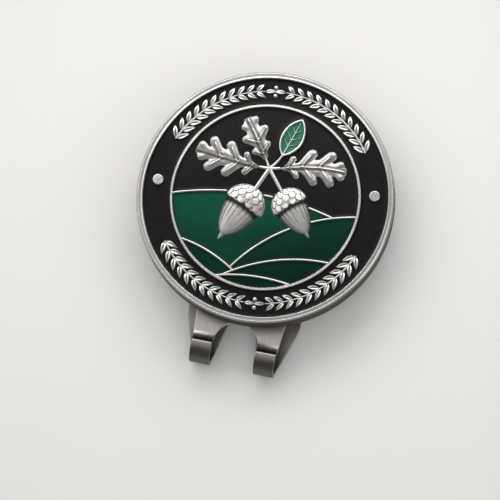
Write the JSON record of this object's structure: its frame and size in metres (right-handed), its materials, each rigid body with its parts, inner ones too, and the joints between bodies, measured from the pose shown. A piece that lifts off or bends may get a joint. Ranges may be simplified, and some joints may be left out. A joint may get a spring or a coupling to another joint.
{
  "type": "golf ball marker with hat clip",
  "caption": "Round struck-metal ball marker with recessed enamel, held by a magnet on a spring clip for a cap brim.",
  "frame": {"origin": "under the middle of the clip and marker, on the surface that the tongue lies on", "axes": "+Z out of the marker's face, -Y towards the clip's legs and curls, X across the legs"},
  "size_m": [0.038, 0.0444, 0.0079],
  "materials": {
    "nickel_plate": "satin nickel plate on struck steel",
    "black_enamel": "soft enamel, semi-gloss",
    "green_enamel": "soft enamel, semi-gloss",
    "bright_green_enamel": "soft enamel, semi-gloss",
    "spring_steel": "brushed nickel-plated spring steel",
    "magnet_plate": "nickel-plated sintered magnet",
    "adhesive": "cured epoxy"
  },
  "bodies": {
    "clip": {"clip_spring": "spring_steel", "magnet": "magnet_plate", "magnet_adhesive": "adhesive"},
    "marker": {"marker_body": "nickel_plate", "band_enamel": "black_enamel", "sky_enamel": "black_enamel", "leaf_enamel": "bright_green_enamel", "far_mound_enamel": "green_enamel", "right_mound_enamel": "green_enamel", "left_mound_enamel": "green_enamel", "fore_mound_enamel": "green_enamel", "near_mound_enamel": "green_enamel"}
  },
  "joints": [
    {"name": "marker_lift", "type": "slide", "parent": "clip", "child": "marker", "axis": [0, 0, 1], "range_m": [0, 0.02]}
  ]
}
